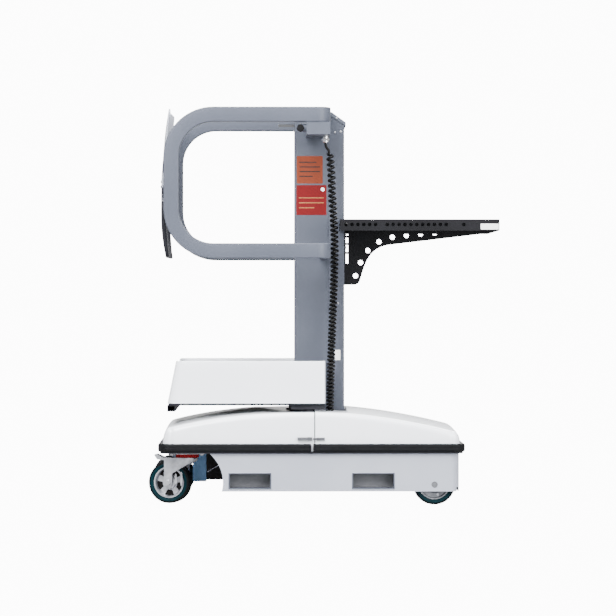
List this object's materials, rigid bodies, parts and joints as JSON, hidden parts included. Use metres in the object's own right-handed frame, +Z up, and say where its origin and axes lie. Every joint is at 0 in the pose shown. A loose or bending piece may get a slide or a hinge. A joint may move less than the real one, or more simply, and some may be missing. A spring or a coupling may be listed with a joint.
{
  "type": "vertical mast personnel lift",
  "caption": "compact self-propelled vertical mast lift with guarded standing platform, swinging entry gate, load tray, hoods, rubber bumpers, swivel casters and curly cable",
  "frame": {"origin": "on the ground under the middle of the machine's bounding box", "axes": "+X forwards to the load tray, +Y to the left side, +Z up"},
  "size_m": [1.3301, 0.76, 1.502],
  "materials": {
    "panel_paint": "light grey powder coat",
    "hood_gloss": "white gel coat",
    "mast_paint": "silver grey paint",
    "black_sheet": "black powder coat",
    "dark_steel": "dark grey paint",
    "blue_paint": "blue paint",
    "bumper_rubber": "moulded rubber",
    "mat_rubber": "ribbed rubber",
    "zinc_steel": "zinc plated",
    "chrome_steel": "hard chrome",
    "cast_alu": "die cast",
    "gate_alu": "painted sheet",
    "red_plastic": "moulded",
    "black_plastic": "moulded",
    "grey_plastic": "moulded",
    "white_plate": "printed film",
    "teal_tread": "cast polyurethane",
    "dark_tread": "cast polyurethane",
    "cable_black": "polyurethane jacket"
  },
  "bodies": {
    "chassis": {"base_frame": "panel_paint", "fork_pockets": "panel_paint", "deck_plate": "dark_steel", "bumper_rear": "bumper_rubber", "bumper_front": "bumper_rubber", "hood_rear": "hood_gloss", "hood_front": "hood_gloss", "battery_box": "blue_paint", "arch_liner": "black_sheet", "batteries": "black_plastic", "charger": "cast_alu", "hydraulic_unit": "dark_steel", "drive_controller": "cast_alu", "drive_units": "dark_steel", "axle_plugs": "grey_plastic", "caster_plates": "zinc_steel", "caster_bolts": "zinc_steel", "caster_seals": "red_plastic", "mast_column": "mast_paint", "lift_cylinder": "dark_steel", "cable_socket": "chrome_steel", "latch_keepers": "zinc_steel", "curly_cable": "cable_black"},
    "stage_1": {"mast_stage_1": "mast_paint", "plunger_1": "chrome_steel"},
    "stage_2": {"mast_stage_2": "mast_paint", "plunger_2": "chrome_steel"},
    "carriage": {"mast_inner": "mast_paint", "plunger_3": "chrome_steel", "mast_shell": "mast_paint", "mast_front_cover": "mast_paint", "mast_lid": "mast_paint", "guard_rail_right": "mast_paint", "guard_rail_left": "mast_paint", "rail_brackets": "mast_paint", "platform_floor": "dark_steel", "platform_skirt": "hood_gloss", "floor_mat": "mat_rubber", "gate_hinges": "dark_steel", "cable_gland": "chrome_steel", "control_box": "black_plastic"},
    "tray": {"load_tray": "black_sheet", "tray_arms": "black_sheet", "tray_plate": "white_plate"},
    "stick": {"joystick": "black_plastic"},
    "stop": {"stop_button": "red_plastic"},
    "caster_right": {"caster_fork_right": "zinc_steel"},
    "wheel_right": {"caster_wheel_right": "cast_alu", "caster_tyre_right": "teal_tread"},
    "pedal_right": {"brake_pedal_right": "zinc_steel"},
    "drive_right": {"drive_wheel_right": "dark_tread"},
    "leaf_right": {"gate_right": "gate_alu"},
    "lever_right": {"latch_right": "zinc_steel"},
    "caster_left": {"caster_fork_left": "zinc_steel"},
    "wheel_left": {"caster_wheel_left": "cast_alu", "caster_tyre_left": "teal_tread"},
    "pedal_left": {"brake_pedal_left": "zinc_steel"},
    "drive_left": {"drive_wheel_left": "dark_tread"},
    "leaf_left": {"gate_left": "gate_alu"},
    "lever_left": {"latch_left": "zinc_steel"}
  },
  "joints": [
    {"name": "carriage_lift", "type": "slide", "parent": "chassis", "child": "carriage", "axis": [0, 0, 1], "range_m": [0, 2.6], "deforming": ["curly_cable"]},
    {"name": "stage_1_lift", "type": "slide", "parent": "chassis", "child": "stage_1", "axis": [0, 0, 1], "range_m": [0, 0.868]},
    {"name": "stage_2_lift", "type": "slide", "parent": "chassis", "child": "stage_2", "axis": [0, 0, 1], "range_m": [0, 1.735]},
    {"name": "tray_height", "type": "slide", "parent": "carriage", "child": "tray", "axis": [0, 0, 1], "range_m": [-0.1, 0.1]},
    {"name": "joystick_tilt", "type": "hinge", "parent": "carriage", "child": "stick", "pos_m": [-0.14, -0.045, 1.465], "axis": [0, 1, 0], "range_deg": [-20, 20], "stiffness_Nm_per_rad": 0.4},
    {"name": "stop_press", "type": "slide", "parent": "carriage", "child": "stop", "axis": [0, 0, -1], "range_m": [0, 0.004]},
    {"name": "caster_right_swivel", "type": "hinge", "parent": "chassis", "child": "caster_right", "pos_m": [-0.517, -0.245, 0.18], "axis": [0, 0, 1], "continuous": true},
    {"name": "caster_right_roll", "type": "hinge", "parent": "caster_right", "child": "wheel_right", "pos_m": [-0.58172, -0.22766, 0.08], "axis": [0.2588, 0.9659, 0], "continuous": true},
    {"name": "pedal_right_press", "type": "hinge", "parent": "caster_right", "child": "pedal_right", "pos_m": [-0.59814, -0.22326, 0.168], "axis": [-0.2588, -0.9659, 0], "range_deg": [0, 10]},
    {"name": "drive_right_roll", "type": "hinge", "parent": "chassis", "child": "drive_right", "pos_m": [0.416, -0.313, 0.08], "axis": [0, 1, 0], "continuous": true},
    {"name": "gate_right_swing", "type": "hinge", "parent": "carriage", "child": "leaf_right", "pos_m": [-0.585, -0.268, 1.25], "axis": [0, 0, -1], "range_deg": [0, 90], "stiffness_Nm_per_rad": 3, "springref_deg": -20.05},
    {"name": "latch_right_open", "type": "hinge", "parent": "chassis", "child": "lever_right", "pos_m": [-0.046, -0.36865, 0.25], "axis": [0, 0, 1], "range_deg": [0, 90]},
    {"name": "caster_left_swivel", "type": "hinge", "parent": "chassis", "child": "caster_left", "pos_m": [-0.517, 0.245, 0.18], "axis": [0, 0, 1], "continuous": true},
    {"name": "caster_left_roll", "type": "hinge", "parent": "caster_left", "child": "wheel_left", "pos_m": [-0.58172, 0.22766, 0.08], "axis": [-0.2588, 0.9659, 0], "continuous": true},
    {"name": "pedal_left_press", "type": "hinge", "parent": "caster_left", "child": "pedal_left", "pos_m": [-0.59814, 0.22326, 0.168], "axis": [0.2588, -0.9659, 0], "range_deg": [0, 10]},
    {"name": "drive_left_roll", "type": "hinge", "parent": "chassis", "child": "drive_left", "pos_m": [0.416, 0.313, 0.08], "axis": [0, 1, 0], "continuous": true},
    {"name": "gate_left_swing", "type": "hinge", "parent": "carriage", "child": "leaf_left", "pos_m": [-0.585, 0.268, 1.25], "axis": [0, 0, 1], "range_deg": [0, 90], "stiffness_Nm_per_rad": 3, "springref_deg": -20.05},
    {"name": "latch_left_open", "type": "hinge", "parent": "chassis", "child": "lever_left", "pos_m": [-0.046, 0.36865, 0.25], "axis": [0, 0, -1], "range_deg": [0, 90]}
  ],
  "couplings": [
    {"joint": "stage_1_lift", "follows": "carriage_lift", "ratio": 0.33333},
    {"joint": "stage_2_lift", "follows": "carriage_lift", "ratio": 0.66667}
  ]
}
